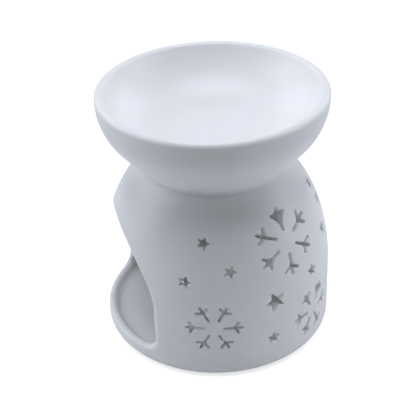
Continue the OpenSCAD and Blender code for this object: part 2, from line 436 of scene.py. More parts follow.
    def settle(self, points, rounds):
        """Moves points onto the porcelain's surface, by no more than a cell in a round."""
        least_slope = 0.5
        for _ in range(rounds):
            slope = self.gradient(points)
            shift = self(points) / np.maximum((slope * slope).sum(1), least_slope ** 2)
            points = points - slope * np.clip(shift, -self.dome.cell, self.dome.cell)[:, None]
        return points


def surface_net(values, origin, cell):
    """A closed surface of four-sided faces where a grid of distances passes through zero."""
    inside = values < 0
    shape = np.array(values.shape) - 1
    corners = [(i, j, k) for i in (0, 1) for j in (0, 1) for k in (0, 1)]

    def shifted(array, corner):
        return array[tuple(slice(c, c + n) for c, n in zip(corner, shape))]

    count = np.zeros(shape, np.uint8)
    for corner in corners:
        count += shifted(inside, corner)
    cells = np.argwhere((count > 0) & (count < 8))
    index = np.full(shape, -1, np.int32)
    index[tuple(cells.T)] = np.arange(len(cells))
    total, hits = np.zeros((len(cells), 3)), np.zeros(len(cells))
    for corner in corners:
        for axis in range(3):
            if corner[axis]:
                continue
            low = cells + corner
            high = low + np.eye(3, dtype=int)[axis]
            a, b = values[tuple(low.T)], values[tuple(high.T)]
            crossed = (a < 0) != (b < 0)
            place = np.repeat(np.array([corner], float), crossed.sum(), 0)
            place[:, axis] += a[crossed] / (a[crossed] - b[crossed])
            total[crossed] += place
            hits[crossed] += 1
    points = origin + cell * (cells + total / hits[:, None])
    faces = []
    for axis in range(3):
        u, v = np.eye(3, dtype=int)[(axis + 1) % 3], np.eye(3, dtype=int)[(axis + 2) % 3]
        along = [slice(None)] * 3
        along[axis] = slice(0, -1)
        ahead = [slice(None)] * 3
        ahead[axis] = slice(1, None)
        for leaving in (True, False):
            found = np.argwhere((inside[tuple(along)] == leaving) & (inside[tuple(ahead)] != leaving))
            ring = [found - u - v, found - v, found, found - u]
            quads = np.stack([index[tuple(p.T)] for p in ring], 1)
            faces.append(quads if leaving else quads[:, ::-1])
    return points, np.concatenate(faces)


# ---------------------------------------------------------------- meshes

def add_object(name, data):
    """Puts new data in the scene as an object."""
    obj = bpy.data.objects.new(name, data)
    bpy.context.scene.collection.objects.link(obj)
    return obj


def mesh_object(name, points, faces):
    """A smooth-shaded object from arrays of points and of faces with equal numbers of corners."""
    mesh = bpy.data.meshes.new(name)
    sides = faces.shape[1]
    mesh.vertices.add(len(points))
    mesh.vertices.foreach_set("co", np.asarray(points, np.float32).ravel())
    mesh.loops.add(faces.size)
    mesh.loops.foreach_set("vertex_index", faces.astype(np.int32).ravel())
    mesh.polygons.add(len(faces))
    mesh.polygons.foreach_set("loop_start", np.arange(0, faces.size, sides, dtype=np.int32))
    mesh.update(calc_edges=True)
    mesh.shade_smooth()
    return add_object(name, mesh)


def mark_points(obj, name, values):
    """Keeps a number from 0 to 1 for each point, for the material to read."""
    attribute = obj.data.attributes.new(name, "FLOAT", "POINT")
    attribute.data.foreach_set("value", np.clip(values, 0, 1).astype(np.float32))


def arc(cx, cz, radius, start, stop, count):
    """Points along an arc, from one angle to another in degrees."""
    angles = np.radians(np.linspace(start, stop, count))
    return [(cx + radius * math.cos(a), cz + radius * math.sin(a)) for a in angles]


def evened(profile, spacing):
    """The same outline with points at an even spacing as well as at its corners."""
    points = [profile[0]]
    for (ax, az), (bx, bz) in zip(profile, profile[1:]):
        steps = max(1, math.ceil(math.hypot(bx - ax, bz - az) / spacing))
        points += [
            (ax + (bx - ax) * i / steps, az + (bz - az) * i / steps) for i in range(1, steps + 1)
        ]
    last = points[-1]
    return [p for p, q in zip(points, points[1:]) if math.dist(p, q) > TOUCHING] + [last]


def lathe(name, profile, turns, shape=None):
    """Revolves an outline of (radius, height), which starts and ends on the axis or is a closed loop.

    The outline runs anticlockwise as seen with the radius to the right, so that faces point outwards. A shape
    takes the radii, heights and angles of the points, and gives their new radii and heights.
    """
    profile = np.array(profile)
    closed = profile[0, 0] > 0
    angles = np.linspace(0, 2 * math.pi, turns, endpoint=False)
    radius, height = (np.repeat(column[:, None], turns, 1) for column in profile.T)
    if shape:
        radius, height = shape(radius, height, angles)
    points = np.stack([radius * np.cos(angles), radius * np.sin(angles), height], -1)
    rows = len(profile)
    grid = np.arange(rows * turns).reshape(rows, turns)
    after = np.roll(grid, -1, 1)
    last = rows if closed else rows - 1
    faces = np.concatenate([
        np.stack([grid[i], after[i], after[(i + 1) % rows], grid[(i + 1) % rows]], 1) for i in range(last)
    ])
    obj = mesh_object(name, points.reshape(-1, 3), faces)
    bend = profile_bend(profile, closed)
    mark_points(obj, "thin", np.repeat(np.clip(bend, 0, None), turns))
    mark_points(obj, "pooled", np.repeat(np.clip(-bend, 0, None), turns))
    if not closed:
        weld_poles(obj)
    return obj


def profile_bend(profile, closed):
    """How sharply an outline turns at each point: 1 at an outward edge of 1 mm radius, negative inwards."""
    before, after = np.roll(profile, 1, 0), np.roll(profile, -1, 0)
    a, b = profile - before, after - profile
    cross = a[:, 0] * b[:, 1] - a[:, 1] * b[:, 0]
    dot = (a * b).sum(1)
    run = (np.hypot(*a.T) + np.hypot(*b.T)) / 2
    bend = np.arctan2(cross, dot) / np.maximum(run, TINY) * MM
    if not closed:
        bend[[0, -1]] = 0
    reach = 2
    window = np.ones(2 * reach + 1) / (2 * reach + 1)
    return np.convolve(np.concatenate([bend[-reach:], bend, bend[:reach]]), window, "valid")


def weld_poles(obj):
    """Joins the points that lie together on the axis."""
    mesh = bmesh.new()
    mesh.from_mesh(obj.data)
    bmesh.ops.remove_doubles(mesh, verts=mesh.verts, dist=TOUCHING)
    bmesh.ops.dissolve_degenerate(mesh, edges=mesh.edges, dist=TOUCHING / 10)
    mesh.to_mesh(obj.data)
    mesh.free()
    obj.data.shade_smooth()


def set_normals(obj, normals):
    """Shades a mesh by the true directions of the surface that it stands for."""
    obj.data.shade_smooth()
    obj.data.normals_split_custom_set_from_vertices(normals.astype(np.float32))


def thin_out(obj, triangles):
    """Brings a mesh down to no more triangles than asked, fewest where the surface is calm."""
    now = len(obj.data.polygons) * 2
    if now > triangles:
        modifier = obj.modifiers.new("Thin out", "DECIMATE")
        modifier.ratio = triangles / now
        modifier.use_collapse_triangulate = True
        graph = bpy.context.evaluated_depsgraph_get()
        mesh = bpy.data.meshes.new_from_object(obj.evaluated_get(graph))
        obj.modifiers.clear()
        heavy, obj.data = obj.data, mesh
        mesh.name = obj.name
        bpy.data.meshes.remove(heavy)


def coordinates(obj):
    """Places of a mesh's points."""
    places = np.empty(len(obj.data.vertices) * 3, np.float32)
    obj.data.vertices.foreach_get("co", places)
    return places.reshape(-1, 3).astype(float)


# How much of a tube's radius its end ring has, and the ring before it
TIP_SHARE, SHOULDER_SHARE = 0.45, 0.85


def tube(path, radius, sides):
    """Points and faces of a closed round tube along a path, with rounded-off ends."""
    path = np.asarray(path, float)
    ahead = np.gradient(path, axis=0)
    ahead /= np.linalg.norm(ahead, axis=1)[:, None]
    first = np.cross(ahead, [0.0, 1.0, 0.0])
    first /= np.linalg.norm(first, axis=1)[:, None]
    second = np.cross(ahead, first)
    swell = np.full(len(path), radius)
    swell[[0, -1]] *= TIP_SHARE
    swell[[1, -2]] *= SHOULDER_SHARE
    turn = np.linspace(0, 2 * math.pi, sides, endpoint=False)
    ring = first[:, None] * np.cos(turn)[:, None] + second[:, None] * np.sin(turn)[:, None]
    points = (path[:, None] + ring * swell[:, None, None]).reshape(-1, 3)
    grid = np.arange(len(path) * sides).reshape(len(path), sides)
    after = np.roll(grid, -1, 1)
    walls = np.stack([grid[:-1], after[:-1], after[1:], grid[1:]], -1).reshape(-1, 4)
    points = np.concatenate([points, path[[0]], path[[-1]]])
    start, end = np.full(sides, len(points) - 2), np.full(sides, len(points) - 1)
    caps = np.concatenate([np.stack([after[0], grid[0], start], 1), np.stack([grid[-1], after[-1], end], 1)])
    return points, walls, caps


# ---------------------------------------------------------------- materials

def give(tree, socket, value):
    """Sets a socket to a value, or links it to another node's socket."""
    if isinstance(value, bpy.types.NodeSocket):
        tree.links.new(value, socket)
    else:
        socket.default_value = value


def put(tree, kind, inputs=(), **settings):
    """Adds a shader node, sets it up, and feeds its inputs with values or from other nodes."""
    made = tree.nodes.new("ShaderNode" + kind)
    for name, value in settings.items():
        setattr(made, name, value)
    for name, value in dict(inputs).items():
        give(tree, made.inputs[name], value)
    return made


def mixed(tree, share, a, b):
    """Colour from a to b by a share."""
    return put(tree, "Mix", {0: share, 6: a, 7: b}, data_type="RGBA").outputs[2]


def maths(tree, operation, a, b=0.0, clamp=False):
    """Result of one step of arithmetic."""
    return put(tree, "Math", {0: a, 1: b}, operation=operation, use_clamp=clamp).outputs[0]


def times(tree, *values):
    """Product of numbers."""
    result = values[0]
    for value in values[1:]:
        result = maths(tree, "MULTIPLY", result, value)
    return result


def noise(tree, place, scale, detail, **more):
    """Soft noise between 0 and 1."""
    return put(tree, "TexNoise", {"Vector": place, "Scale": scale, "Detail": detail, **more}).outputs["Fac"]


def spread(tree, value, low, high, to_low=0.0, to_high=1.0):
    """A number moved from one range to another and held there."""
    inputs = {"Value": value, "From Min": low, "From Max": high, "To Min": to_low, "To Max": to_high}
    return put(tree, "MapRange", inputs).outputs["Result"]


def object_place(tree):
    """Where a point of the surface lies on its own object, in metres."""
    return put(tree, "TexCoord").outputs["Object"]


def shared_group(name, takes, gives, fill):
    """The shader node group with a name, made when it is first asked for."""
    tree = bpy.data.node_groups.get(name)
    if tree is None:
        tree = bpy.data.node_groups.new(name, "ShaderNodeTree")
        for label, (kind, default) in takes.items():
            socket = tree.interface.new_socket(label, in_out="INPUT", socket_type="NodeSocket" + kind)
            socket.default_value = default
        for label, kind in gives.items():
            tree.interface.new_socket(label, in_out="OUTPUT", socket_type="NodeSocket" + kind)
        start, end = tree.nodes.new("NodeGroupInput"), tree.nodes.new("NodeGroupOutput")
        for label, socket in fill(tree, start.outputs).items():
            tree.links.new(socket, end.inputs[label])
    return tree


def uneven_tone():
    """Group: a finish that drifts between two colours and two roughnesses over the surface."""
    def fill(tree, takes):
        place, finer = object_place(tree), 3.7
        cloud = noise(tree, place, takes["Scale"], takes["Detail"], Roughness=0.55)
        sheen = noise(tree, place, times(tree, takes["Scale"], finer), takes["Detail"])
        return {
            "Color": mixed(tree, spread(tree, cloud, 0.35, 0.65), takes["Base"], takes["Other"]),
            "Roughness": spread(tree, sheen, 0.3, 0.7, takes["Smooth"], takes["Rough"]),
        }

    takes = {
        "Base": ("Color", WHITE), "Other": ("Color", WHITE), "Scale": ("Float", 30),
        "Smooth": ("Float", 0.2), "Rough": ("Float", 0.3), "Detail": ("Float", 4),
    }
    return shared_group("Uneven tone", takes, {"Color": "Color", "Roughness": "Float"}, fill)


def skin_relief():
    """Group: shallow relief at two sizes, as one height in metres."""
    def fill(tree, takes):
        stretch = {0: object_place(tree), 1: takes["Stretch"]}
        along = put(tree, "VectorMath", stretch, operation="MULTIPLY").outputs[0]
        waves = times(tree, noise(tree, along, takes["Waves"], 2), takes["Wave height"])
        grain = times(tree, noise(tree, along, takes["Grain"], 3), takes["Grain height"])
        return {"Height": maths(tree, "ADD", waves, grain)}

    takes = {
        "Stretch": ("Vector", (1, 1, 1)), "Waves": ("Float", 120), "Wave height": ("Float", 0.01 * MM),
        "Grain": ("Float", 1500), "Grain height": ("Float", 0.002 * MM),
    }
    return shared_group("Skin relief", takes, {"Height": "Float"}, fill)


def glaze_flow():
    """Group: glaze that gathers in hollows and runs thin over edges, with a rare speck."""
    def fill(tree, takes):
        place = object_place(tree)
        patch_scale, speck_scale, rarity, rough_edge, speck_depth = 260, 95, 0.955, 0.08, -0.02 * MM
        pooled = put(tree, "Attribute", attribute_name="pooled").outputs["Fac"]
        thin = put(tree, "Attribute", attribute_name="thin").outputs["Fac"]
        broken = spread(tree, noise(tree, place, patch_scale, 3), 0.3, 0.6, 0.5, 1)
        pool_share = times(tree, spread(tree, pooled, 0.05, 0.75), takes["Amount"])
        thin_share = times(tree, spread(tree, thin, 0.15, 0.8), broken, takes["Amount"])
        colour = mixed(tree, pool_share, takes["Color"], takes["Pool"])
        colour = mixed(tree, thin_share, colour, takes["Thin"])
        cells = put(tree, "TexVoronoi", {"Vector": place, "Scale": speck_scale})
        pinch = put(tree, "SeparateColor", {"Color": cells.outputs["Color"]}).outputs["Red"]
        chosen = spread(tree, pinch, rarity, rarity + 0.005)
        speck = times(tree, spread(tree, cells.outputs["Distance"], 0.035, 0.015), chosen)
        return {
            "Color": mixed(tree, times(tree, speck, 0.55), colour, IRON_SPECK),
            "Roughness": maths(tree, "ADD", takes["Roughness"], times(tree, thin_share, rough_edge)),
            "Height": times(tree, speck, speck_depth),
        }

    takes = {
        "Color": ("Color", WHITE), "Pool": ("Color", WHITE), "Thin": ("Color", WHITE),
        "Roughness": ("Float", 0.2), "Amount": ("Float", 0.8),
    }
    gives = {"Color": "Color", "Roughness": "Float", "Height": "Float"}
    return shared_group("Glaze flow", takes, gives, fill)


def new_material(name):
    """A material with its own shader, ready to be fed."""
    material = bpy.data.materials.new(name)
    material.use_nodes = True
    tree = material.node_tree
    tree.nodes.clear()
    shader = put(tree, "BsdfPrincipled")
    put(tree, "OutputMaterial", {"Surface": shader.outputs[0]})
    return material, tree, shader


def use_group(tree, group, inputs):
    """Places a node group in a material with its own values."""
    return put(tree, "Group", inputs, node_tree=group).outputs


def paint(colour, shade=1.0):
    """A setting's colour with its alpha, made lighter or darker."""
    return (*(min(1, c * shade) for c in colour), 1)


def feed(tree, shader, inputs):
    """Feeds the shader's own sockets."""
    for name, value in inputs.items():
        give(tree, shader.inputs[name], value)


def bumped(tree, height):
    """Surface direction for a relief in metres."""
    return put(tree, "Bump", {"Height": height, "Distance": 1.0, "Strength": 1.0}).outputs["Normal"]


def bare_foot(tree, height):
    """How bare of glaze the surface is below a height, with a ragged edge, and the grit's relief there."""
    place = object_place(tree)
    ragged_scale, ragged_height, fade, grit_scale, grit_height = 420, 0.3 * MM, 0.12 * MM, 3500, 0.02 * MM
    level = put(tree, "SeparateXYZ", {"Vector": place}).outputs["Z"]
    wavy = maths(tree, "ADD", level, times(tree, noise(tree, place, ragged_scale, 3), ragged_height))
    bare = spread(tree, wavy, height, height - fade)
    return bare, times(tree, noise(tree, place, grit_scale, 2), bare, grit_height)


def glaze_material(name, settings, foot_height=None):
    """White porcelain under a clear, slightly pooled glaze, bare where it stood in the kiln."""
    material, tree, shader = new_material(name)
    tone = use_group(tree, uneven_tone(), {
        "Base": paint(settings.white), "Other": paint(settings.cloud), "Scale": 9, "Detail": 0,
        "Smooth": 0.3, "Rough": 0.34,
    })
    flow = use_group(tree, glaze_flow(), {
        "Color": tone["Color"], "Pool": paint(settings.pool), "Thin": paint(settings.edge),
        "Roughness": tone["Roughness"], "Amount": 0.8,
    })
    relief = use_group(tree, skin_relief(), {
        "Waves": 60, "Wave height": 0.02 * MM, "Grain": 700, "Grain height": 0.0004 * MM,
    })
    height = maths(tree, "ADD", relief["Height"], flow["Height"])
    colour, rough = flow["Color"], flow["Roughness"]
    if foot_height is not None:
        bare, grit = bare_foot(tree, foot_height)
        colour = mixed(tree, bare, colour, paint(settings.bisque))
        rough = maths(tree, "ADD", rough, times(tree, bare, 0.55), clamp=True)
        height = maths(tree, "ADD", height, grit)
    feed(tree, shader, {
        "Base Color": colour, "Roughness": rough, "Normal": bumped(tree, height), "IOR": 1.5,
        "Specular IOR Level": 0.38, "Subsurface Weight": 0.35, "Subsurface Scale": 1,
        "Subsurface Radius": (2.4 * MM, 2.3 * MM, 2.1 * MM),
    })
    return material


def plain_material(name, colour, shade, tone, relief, constants):
    """A finish with an uneven tone and skin, and what is the same all over it."""
    material, tree, shader = new_material(name)
    tones = use_group(tree, uneven_tone(), {"Base": paint(colour), "Other": paint(colour, shade), **tone})
    skin = use_group(tree, skin_relief(), relief)
    feed(tree, shader, {
        "Base Color": tones["Color"], "Roughness": tones["Roughness"],
        "Normal": bumped(tree, skin["Height"]), **constants,
    })
    return material


def foil_material(settings):
    """Thin drawn aluminium, bright and a little scuffed."""
    return plain_material(
        "Drawn foil", settings.foil, 0.88, {"Scale": 160, "Smooth": 0.22, "Rough": 0.42},
        {
            "Stretch": (1, 1, 0.12), "Waves": 900, "Wave height": 0.03 * MM,
            "Grain": 5200, "Grain height": 0.006 * MM,
        },
        {"Metallic": 1},
    )


def wax_material(settings):
    """Paraffin wax, cloudy and faintly crystalline."""
    return plain_material(
        "Candle wax", settings.wax, 0.9, {"Scale": 240, "Smooth": 0.32, "Rough": 0.5},
        {"Waves": 420, "Wave height": 0.06 * MM, "Grain": 4200, "Grain height": 0.01 * MM},
        {
            "IOR": 1.44, "Subsurface Weight": 0.35, "Subsurface Scale": 1,
            "Subsurface Radius": (3 * MM, 2.6 * MM, 2 * MM),
        },
    )


def steel_material(settings):
    """Stamped tinplate with rolling marks."""
    return plain_material(
        "Stamped steel", settings.steel, 0.8, {"Scale": 500, "Smooth": 0.25, "Rough": 0.5},
        {
            "Stretch": (0.08, 1, 1), "Waves": 2600, "Wave height": 0.012 * MM,
            "Grain": 9000, "Grain height": 0.003 * MM,
        },
        {"Metallic": 1},
    )


def cotton_material(settings):
    """Waxed cotton yarn."""
    return plain_material(
        "Waxed cotton", settings.cotton, 0.75, {"Scale": 1100, "Smooth": 0.55, "Rough": 0.85},
        {
            "Stretch": (1, 1, 0.3), "Waves": 4200, "Wave height": 0.05 * MM,
            "Grain": 16000, "Grain height": 0.01 * MM,
        },
        {"Sheen Weight": 0.3},
    )


def floor_material(settings):
    """Plain matt paper, which shines a little towards the camera and is painted darker in front of its view
    for all but camera rays, a painted shade that cuts the light bounced onto the object's front.
    """
    material, tree, shader = new_material("Studio floor")
    place = object_place(tree)
    shade_starts, shade_full, glow_rises, glow_full = -0.09, -0.16, 0.4, 1.5
    ahead = Matrix.Rotation(settings.around, 3, "Z") @ Vector((0, 1, 0))
    depth = put(tree, "VectorMath", {0: place, 1: ahead}, operation="DOT_PRODUCT").outputs["Value"]
    # Painted shade: the floor before the view is darker to every ray but the camera's, so less light bounces
    # onto the object's front
    front = spread(tree, depth, shade_starts, shade_full)
    seen = put(tree, "LightPath").outputs["Is Camera Ray"]
    unseen = maths(tree, "SUBTRACT", 1.0, seen)
    tone = use_group(tree, uneven_tone(), {
        "Base": paint(settings.floor), "Other": paint(settings.floor, 0.985), "Scale": 3,
        "Smooth": 0.85, "Rough": 0.95,
    })
    reach = put(tree, "VectorMath", {0: place}, operation="LENGTH").outputs["Value"]
    shine = times(tree, seen, spread(tree, reach, glow_rises, glow_full, settings.glow, 1))
    feed(tree, shader, {
        "Base Color": mixed(tree, times(tree, front, unseen), tone["Color"], paint(settings.front)),
        "Roughness": tone["Roughness"], "Emission Color": mixed(tree, shine, BLACK, WHITE),
        "Emission Strength": 1,
    })
    return material


# ---------------------------------------------------------------- pieces

def seat(obj, material, body, slot, *nodes):
    """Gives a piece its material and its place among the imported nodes."""
    obj.data.materials.clear()
    obj.data.materials.append(material)
    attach(obj, body)
    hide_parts(*nodes)


def dome_values(field):
    """Distances to the dome on a grid, with the grid's lowest corner."""
    cell = field.dome.cell
    margin = 2.5 * cell
    low, high = np.array(BODY_LOW) - margin, np.array(BODY_HIGH) + margin
    shape = np.ceil((high - low) / cell).astype(int) + 1
    x, y = np.meshgrid(*(low[i] + cell * np.arange(shape[i]) for i in (0, 1)), indexing="ij")
    radius = np.hypot(x, y)
    values = np.empty(shape, np.float32)
    for k in range(shape[2]):
        z = np.full(x.shape, low[2] + cell * k)
        layer = field.shell(radius, z)
        near = layer < 2 * cell
        if near.any():
            layer[near] = field(np.stack([x[near], y[near], z[near]], 1))
        values[:, :, k] = layer
    return values, low


def build_dome(scene):
    """The pierced dome: worked out as distances, meshed, thinned out and set onto the true surface."""
    settings = scene.burner_dome
    field = DomeField(settings, scene.burner_pattern)
    values, low = dome_values(field)
    points, faces = surface_net(values, low, settings.cell)
    obj = mesh_object("pierced_dome", field.settle(points, 2), faces)
    thin_out(obj, settings.triangles)
    places = field.settle(coordinates(obj), 2)
    obj.data.vertices.foreach_set("co", places.astype(np.float32).ravel())
    normals = field.gradient(places)
    normals /= np.maximum(np.linalg.norm(normals, axis=1), TINY)[:, None]
    reach = 1.3 * MM
    mark_points(obj, "thin", 1 + field(places - normals * reach) / reach)
    mark_points(obj, "pooled", 1 - field(places + normals * reach) / reach)
    set_normals(obj, normals)
    foot = BODY_LOW.z + 0.45 * MM
    seat(obj, glaze_material("Dome glaze", scene.burner_glaze, foot), "burner", "porcelain", "body")


def heading(direction):
    """Angle of a direction in the outline's plane, in degrees from 0 to 360."""
    return math.degrees(math.atan2(direction[1], direction[0])) % 360


def dish_profile(scene):
    """Half outline of the dish, from under its floor, round the rim and back over its floor."""
    dish, dome = scene.burner_dish, scene.burner_dome
    field = DomeField(dome, scene.burner_pattern)
    neck, rim_z, radius = DISH_LOW.z, DISH_HIGH.z, DISH_HIGH.x
    neck_r = field.face_at(neck)[0]
    lip = dish.rim / 2
    lip_z = rim_z - lip
    # The outer side: an arc under the rim, and the line from the neck that touches it
    cx, cz = radius - dish.arc, lip_z - 0.5 * MM
    away = math.hypot(cx - neck_r, cz - neck)
    slope = math.atan2(cz - neck, cx - neck_r) - math.asin(dish.arc / away)
    along = np.array([math.cos(slope), math.sin(slope)])
    out = np.array([math.sin(slope), -math.cos(slope)])
    # The joint: an arc that touches that line and a bed just under the dome's shoulder
    joint = dish.joint_round
    shoulder = np.array([field.shoulder_x, field.shoulder_z])
    bed = dome.shoulder_arc - 0.04 * MM
    start = np.array([neck_r, neck]) + out * joint - shoulder
    b = start @ along
    run = -b + math.sqrt(b * b - start @ start + (bed + joint) ** 2)
    centre = start + run * along + shoulder
    # The inside: a flat floor, one arc, and the rounded rim
    floor_z = rim_z - dish.depth
    steep = dish.bowl_slope
    bowl = (lip_z + lip * math.cos(steep) - floor_z) / (1 - math.cos(steep))
    bowl_x = radius - lip - (lip + bowl) * math.sin(steep)
    # The underside: the floor, and the ring that stands on the neck
    under = floor_z - dish.floor
    ring, ring_round, edge = dish.foot_ring, 2 * MM, 0.3 * MM
    outline = [(0, under)]
    outline += arc(ring - ring_round, under - ring_round, ring_round, 90, 0, 9)
    outline += [(ring, neck + edge), (ring + edge, neck), (neck_r - 3 * edge, neck)]
    touch = heading(centre - shoulder)
    for before, sink in ((2.4, 0.35 * MM), (1.2, 0.08 * MM)):
        outline += arc(*shoulder, bed - sink, touch - before, touch - before, 1)
    outline += arc(*centre, joint, heading(shoulder - centre), heading(-out), 14)
    outline += arc(cx, cz, dish.arc, math.degrees(slope) - 90, 0, 40)
    outline += arc(radius - lip, lip_z, lip, 0, 90 + math.degrees(steep), 20)
    outline += arc(bowl_x, floor_z + bowl, bowl, math.degrees(steep) - 90, -90, 44)
    outline += [(0, floor_z)]
    return evened(outline, 1.1 * MM)


def build_dish(scene):
    """The warming dish, thrown as one turned form with the faint unevenness of a moulded pot."""
    neck, rim_z, radius = DISH_LOW.z, DISH_HIGH.z, DISH_HIGH.x
    inset = 0.12

    def uneven(r, z, angles):
        share = MM * np.clip((z - neck) / (rim_z - neck), 0, 1) ** 2 * np.clip(r / radius, 0, 1)
        wave = 0.09 * np.sin(2 * angles + 0.8) + 0.05 * np.sin(3 * angles + 2.1)
        lift = 0.07 * np.sin(angles - 0.6) + 0.05 * np.sin(2 * angles + 1.9)
        return r + share * (wave - inset), z + share * (lift - inset)

    obj = lathe("warming_dish", dish_profile(scene), 288, uneven)
    seat(obj, glaze_material("Dish glaze", scene.burner_glaze), "burner", "porcelain", "dish")


def cup_wall(candle):
    """Radius of the cup's outer face at its base, and at its rim."""
    rim = CUP_HIGH.x - 2 * candle.bead + candle.foil
    return rim - candle.taper, rim


def build_cup(scene):
    """The foil cup: a thin drawn shell with a stepped base, faint pleats and a rolled rim."""
    candle = scene.burner_candle
    base_r, rim_r = cup_wall(candle)
    low, top, foil, bead = CUP_LOW.z, CUP_HIGH.z, candle.foil, candle.bead
    corner, step, step_in, step_out = 1.1 * MM, 0.45 * MM, 11.2 * MM, 12 * MM
    bend = 0.1 * MM
    wall_top, bead_r = top - bead, rim_r + bead - foil
    outline = [(0, low + step), (step_in, low + step), (step_out, low)]
    outline += arc(base_r - corner, low + corner, corner, -90, 0, 8)
    outline += [(rim_r, wall_top)]
    outline += arc(bead_r, wall_top, bead - foil, 180, -150, 14)
    outline += arc(bead_r, wall_top, bead, -150, 180, 22)
    outline += [(base_r - foil, low + corner)]
    outline += arc(base_r - corner, low + corner, corner - foil, 0, -90, 8)
    outline += [(step_out + bend, low + foil), (step_in + bend, low + step + foil), (0, low + step + foil)]
    pleats, pleat_depth, fade = 84, 0.05 * MM, 2 * MM
    height = np.random.default_rng(31).uniform(0.2, 1, pleats)

    def pleated(r, z, angles):
        turn = angles / (2 * math.pi) * pleats
        fold = np.sin(math.pi * turn) ** 2 * height[turn.astype(int) % pleats]
        share = np.clip((z - low - corner) / (top - low), 0, 1)
        mask = np.clip(share * 6, 0, 1) * np.clip((wall_top - z) / fade, 0, 1)
        return r - pleat_depth * fold * mask * (1 - 0.5 * share), z

    obj = lathe("foil_cup", evened(outline, 0.9 * MM), 336, pleated)
    seat(obj, foil_material(scene.burner_glaze), "tealight", "cup_foil", "tealight_cup")


def build_wax(scene):
    """The wax, drawn up the foil at its edge and round the wick."""
    candle = scene.burner_candle
    base_r, rim_r = cup_wall(candle)
    climb, hole = candle.meniscus, WICK_HIGH.x * 0.9
    top, bottom = WAX_HIGH.z - climb, WAX_LOW.z + 0.3 * MM
    grow = (rim_r - base_r) / (CUP_HIGH.z - CUP_LOW.z)
    gap = candle.foil + 0.02 * MM
    side = base_r - gap + grow * (top - CUP_LOW.z)
    # The top sinks by the edge and again towards the wick, and climbs a little at both
    edge_width, edge_sink, sink, wick_width, wick_climb = 2.6 * MM, 0.05 * MM, 0.35 * MM, 1.8 * MM, 0.8 * MM
    edge_r, wick_r = side - edge_width, hole + wick_width
    outline = [(hole, bottom), (base_r - 2 * MM, bottom), (base_r - gap - 0.2 * MM, WAX_LOW.z + 1.4 * MM)]
    outline += [(side, top + climb)]
    outline += [
        (side - edge_width * s, top + climb * (1 - s) ** 3 - edge_sink * s) for s in np.linspace(0.05, 1, 12)
    ]
    outline += [
        (edge_r + (wick_r - edge_r) * s, top - edge_sink - sink * s * s) for s in np.linspace(0.1, 1, 10)
    ]
    outline += [
        (hole + wick_width * (1 - s), top - edge_sink - sink + wick_climb * s ** 3)
        for s in np.linspace(0.2, 1, 9)
    ]
    set_depth, swell = 1 * MM, 0.18 * MM

    def set_hard(r, z, angles):
        high = np.clip((z - top + set_depth) / set_depth, 0, 1)
        across = r / side
        return r, z + swell * high * np.sin(3 * angles + 4 * across) * across * (1 - across)

    obj = lathe("candle_wax", evened(outline, 0.8 * MM), 192, set_hard)
    seat(obj, wax_material(scene.burner_glaze), "tealight", "candle_wax", "tealight_wax")


def build_tab(scene):
    """The stamped tab that holds the wick upright in the wax."""
    radius, top = TAB_HIGH.x, TAB_HIGH.z
    sheet, bore, neck, bend, mouth = 0.3 * MM, WICK_HIGH.x, 1.55 * MM, 0.5 * MM, 0.2 * MM
    under = TAB_LOW.z + 0.05 * MM
    outline = [(bore, under)]
    outline += arc(radius - sheet / 2, under + sheet / 2, sheet / 2, -90, 90, 7)
    outline += arc(neck + bend, under + sheet + bend, bend, 270, 180, 6)
    outline += arc(neck - mouth, top - mouth, mouth, 0, 90, 5)
    outline += [(bore + 0.05 * MM, top)]
    crimp_start, crimp_rise, crimp = TAB_LOW.z + 1 * MM, 1 * MM, 0.12 * MM

    def crimped(r, z, angles):
        high = np.clip((z - crimp_start) / crimp_rise, 0, 1)
        outer = np.clip((r - bore) / (neck - bore), 0, 1)
        return r - crimp * high * outer * (1 - np.cos(4 * angles)) / 2, z

    obj = lathe("wick_tab_disc", evened(outline, 0.5 * MM), 96, crimped)
    seat(obj, steel_material(scene.burner_glaze), "tealight", "tab_steel", "wick_tab")


def build_wick(scene):
    """The wick: three yarns braided together, with a slight lean at the tip."""
    low, top, radius = WICK_LOW.z, WICK_HIGH.z, WICK_HIGH.x
    yarn = 0.36 * radius
    across, deep = 0.8 * (radius - yarn), 0.75 * (radius - yarn)
    tip_lean, stagger = 0.35 * MM, 0.25 * MM
    level = np.linspace(low, top - yarn, 150)
    lean = tip_lean * np.clip((level - WAX_HIGH.z) / (top - WAX_HIGH.z), 0, 1) ** 2
    points, faces = [], []
    for k in range(3):
        turn = (level - low) / scene.burner_candle.twist * 2 * math.pi + 2 * math.pi * k / 3
        path = np.stack([
            across * np.sin(turn) + lean,
            deep * np.sin(2 * turn),
            level + stagger * (k - 1) * (level - low) / (top - low),
        ], 1)
        ring, walls, caps = tube(path, yarn, 12)
        offset = len(points)
        points += ring.tolist()
        faces += (walls + offset).tolist() + (caps + offset).tolist()
    mesh = bpy.data.meshes.new("braided_wick")
    mesh.from_pydata(points, [], faces)
    mesh.shade_smooth()
    obj = add_object("braided_wick", mesh)
    seat(obj, cotton_material(scene.burner_glaze), "tealight", "wick_cotton", "wick")


# ---------------------------------------------------------------- studio

def build_camera(scene, turn):
    """A camera above and in front, turned round the axis."""
    stage = scene.burner_stage
    yaw, pitch, roll = stage.turn, stage.tilt, stage.roll
    ahead = Vector((math.sin(yaw) * math.cos(pitch), math.cos(yaw) * math.cos(pitch), -math.sin(pitch)))
    level = Vector((math.cos(yaw), -math.sin(yaw), 0))
    upright = level.cross(ahead)
    right = level * math.cos(roll) + upright * math.sin(roll)
    up = upright * math.cos(roll) - level * math.sin(roll)
    place = turn @ Vector((0, -stage.distance, stage.height))
    axes = Matrix((turn @ right, turn @ up, turn @ -ahead)).transposed()
    data = bpy.data.cameras.new("Camera")
    data.lens = stage.lens
    data.sensor_width = 36
    data.clip_start, data.clip_end = 0.01, 20
    camera = add_object("Camera", data)
    camera.matrix_world = Matrix.Translation(place) @ axes.to_4x4()
    scene.camera = camera


